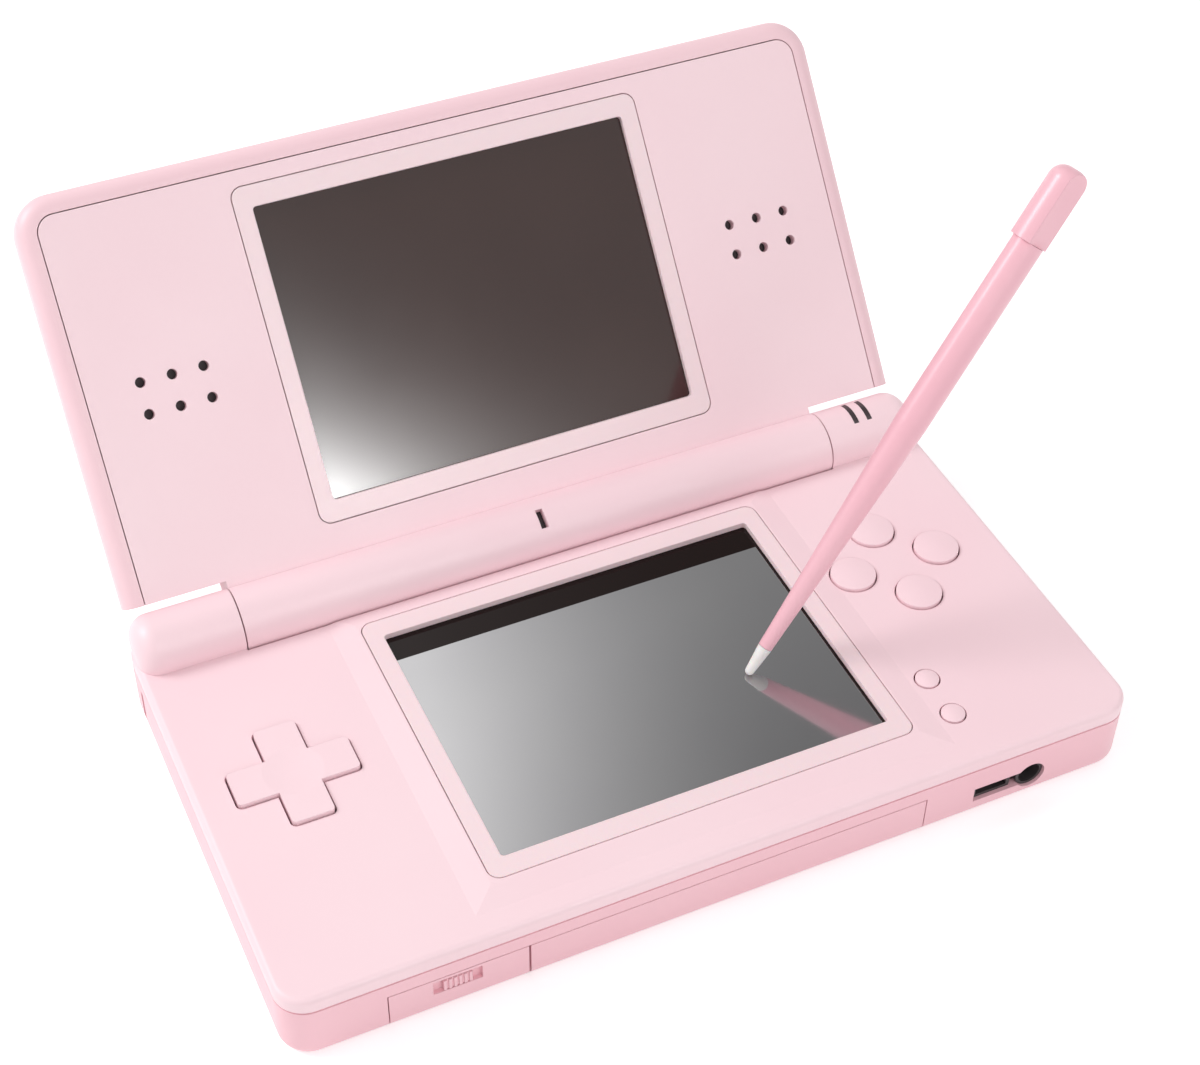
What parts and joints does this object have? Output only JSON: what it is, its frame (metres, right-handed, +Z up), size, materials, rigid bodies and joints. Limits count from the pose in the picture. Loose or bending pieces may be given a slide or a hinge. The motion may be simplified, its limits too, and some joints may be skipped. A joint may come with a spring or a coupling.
{
  "type": "clamshell handheld game console",
  "caption": "Clamshell handheld game console, opened on its barrel hinge, with two screens, a cross pad, buttons, shoulder buttons, front and rear slots and a loose stylus.",
  "frame": {"origin": "middle of the flat underside, on the surface it rests on", "axes": "+X to the user's right along the hinge axis, +Y away from the user towards the hinge, +Z up; the lid is stored open at 129 degrees, as pictured"},
  "size_m": [0.1388, 0.1164, 0.0807],
  "materials": {
    "pink_shell": "satin gloss",
    "light_pink_shell": "satin gloss",
    "pale_frame": "satin gloss",
    "dark_glass": "polished",
    "touch_glass": "polished",
    "black_plastic": "moulded",
    "display_module": "smooth",
    "circuit_board": "solder mask",
    "battery_wrap": "smooth",
    "steel": "plated",
    "grey_rubber": "matt",
    "white_plastic": "smooth"
  },
  "bodies": {
    "base": {"base_bottom_shell": "pink_shell", "base_top_shell": "light_pink_shell", "battery_cover": "pink_shell", "battery_cover_screw": "steel", "battery_pack": "battery_wrap", "base_screws": "steel", "rubber_feet": "grey_rubber", "main_board": "circuit_board", "wifi_board": "circuit_board", "touch_panel": "touch_glass", "lower_lcd": "display_module", "lower_screen_frame": "pale_frame", "card_slot_connector": "black_plastic", "cartridge_connector": "black_plastic", "volume_panel": "pink_shell", "headphone_jack": "black_plastic", "headset_port": "black_plastic", "charge_port": "black_plastic", "stylus_silo": "white_plastic", "dpad_membrane": "grey_rubber", "face_button_membrane": "grey_rubber", "small_button_membrane": "grey_rubber", "shoulder_pins": "steel", "power_lamp_window": "black_plastic", "charge_lamp_window": "black_plastic"},
    "lid": {"lid_outer_shell": "pink_shell", "lid_inner_shell": "light_pink_shell", "upper_screen_frame": "pale_frame", "upper_lens": "dark_glass", "upper_lcd": "display_module", "speaker_left": "black_plastic", "speaker_right": "black_plastic", "microphone": "black_plastic", "hinge_cartridge": "steel", "hinge_bush": "steel"},
    "stylus": {"stylus_nib": "white_plastic", "stylus_shaft": "pink_shell", "stylus_cap": "pink_shell"},
    "slot_cover": {"slot_cover": "pink_shell"},
    "volume_slider": {"volume_slider": "pink_shell"},
    "power_slider": {"power_slider": "pink_shell"},
    "dpad_rocker": {"dpad_rocker": "grey_rubber"},
    "d_pad": {"d_pad": "light_pink_shell"},
    "button_top": {"button_top": "light_pink_shell"},
    "button_right": {"button_right": "light_pink_shell"},
    "button_bottom": {"button_bottom": "light_pink_shell"},
    "button_left": {"button_left": "light_pink_shell"},
    "button_start": {"button_start": "light_pink_shell"},
    "button_select": {"button_select": "light_pink_shell"},
    "shoulder_button_left": {"shoulder_button_left": "pink_shell"},
    "shoulder_button_right": {"shoulder_button_right": "pink_shell"}
  },
  "joints": [
    {"name": "lid_hinge", "type": "hinge", "parent": "base", "child": "lid", "pos_m": [0, 0.03175, 0.014], "axis": [1, 0, 0], "range_deg": [0, 129]},
    {"name": "stylus_lay_down", "type": "hinge", "parent": "base", "child": "stylus", "pos_m": [0.04119, -0.03947, 0.00325], "axis": [0.5939, 0.658, 0.4629], "range_deg": [0, 180]},
    {"name": "slot_cover_pull", "type": "slide", "parent": "base", "child": "slot_cover", "axis": [0, -1, 0], "range_m": [0, 0.022]},
    {"name": "volume_slide", "type": "slide", "parent": "base", "child": "volume_slider", "axis": [1, 0, 0], "range_m": [-0.0012, 0.0012]},
    {"name": "power_slide", "type": "slide", "parent": "base", "child": "power_slider", "axis": [0, 1, 0], "range_m": [0, 0.0025], "stiffness_N_per_m": 200, "springref_m": -0.0005},
    {"name": "dpad_tilt_up_down", "type": "hinge", "parent": "base", "child": "dpad_rocker", "pos_m": [-0.0518, 0.0008, 0.00935], "axis": [1, 0, 0], "range_deg": [-1.5, 1.5], "stiffness_Nm_per_rad": 0.1},
    {"name": "dpad_tilt_left_right", "type": "hinge", "parent": "dpad_rocker", "child": "d_pad", "pos_m": [-0.0518, 0.0008, 0.00935], "axis": [0, 1, 0], "range_deg": [-1.5, 1.5], "stiffness_Nm_per_rad": 0.1},
    {"name": "button_top_press", "type": "slide", "parent": "base", "child": "button_top", "axis": [0, 0, -1], "range_m": [0, 0.0006], "stiffness_N_per_m": 400, "springref_m": -0.0002},
    {"name": "button_right_press", "type": "slide", "parent": "base", "child": "button_right", "axis": [0, 0, -1], "range_m": [0, 0.0006], "stiffness_N_per_m": 400, "springref_m": -0.0002},
    {"name": "button_bottom_press", "type": "slide", "parent": "base", "child": "button_bottom", "axis": [0, 0, -1], "range_m": [0, 0.0006], "stiffness_N_per_m": 400, "springref_m": -0.0002},
    {"name": "button_left_press", "type": "slide", "parent": "base", "child": "button_left", "axis": [0, 0, -1], "range_m": [0, 0.0006], "stiffness_N_per_m": 400, "springref_m": -0.0002},
    {"name": "button_start_press", "type": "slide", "parent": "base", "child": "button_start", "axis": [0, 0, -1], "range_m": [0, 0.0004], "stiffness_N_per_m": 400, "springref_m": -0.0002},
    {"name": "button_select_press", "type": "slide", "parent": "base", "child": "button_select", "axis": [0, 0, -1], "range_m": [0, 0.0004], "stiffness_N_per_m": 400, "springref_m": -0.0002},
    {"name": "shoulder_left_press", "type": "hinge", "parent": "base", "child": "shoulder_button_left", "pos_m": [-0.0485, 0.03305, 0.0045], "axis": [0, 0, 1], "range_deg": [0, 3], "stiffness_Nm_per_rad": 0.1, "springref_deg": -1.15},
    {"name": "shoulder_right_press", "type": "hinge", "parent": "base", "child": "shoulder_button_right", "pos_m": [0.0485, 0.03305, 0.0045], "axis": [0, 0, -1], "range_deg": [0, 3], "stiffness_Nm_per_rad": 0.1, "springref_deg": -1.15}
  ],
  "couplings": [
    {"joint": "stylus_lay_down", "follows": "lid_hinge", "ratio": 1.3953}
  ]
}
